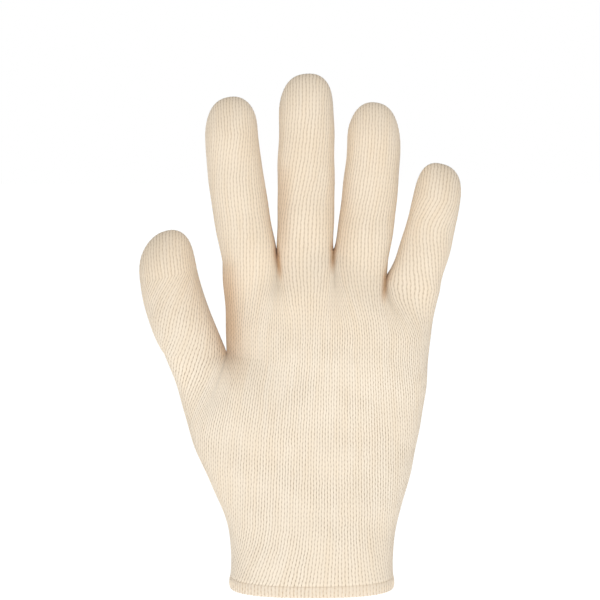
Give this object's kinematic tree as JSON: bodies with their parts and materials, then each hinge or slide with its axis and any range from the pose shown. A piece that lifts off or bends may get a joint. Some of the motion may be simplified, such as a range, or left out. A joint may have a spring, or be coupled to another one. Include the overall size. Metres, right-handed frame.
{
  "type": "knit glove",
  "caption": "Seamless stockinette cotton work glove with open, rounded fingers and thumb and a plain short cuff, in the shape it keeps on a hand",
  "frame": {"origin": "centre of the wrist opening, in the plane of the hem's edge", "axes": "+Z from the wrist to the fingertips, +X from the thumb's side to the little finger's, +Y from the back of the hand to the palm"},
  "size_m": [0.1421, 0.0466, 0.2273],
  "materials": {
    "knit_cotton": "undyed cream stockinette knit, matt",
    "hem_cotton": "undyed cream overlocked band, matt"
  },
  "bodies": {
    "root": {"knit_shell": "knit_cotton", "hem_band": "hem_cotton"}
  },
  "joints": []
}
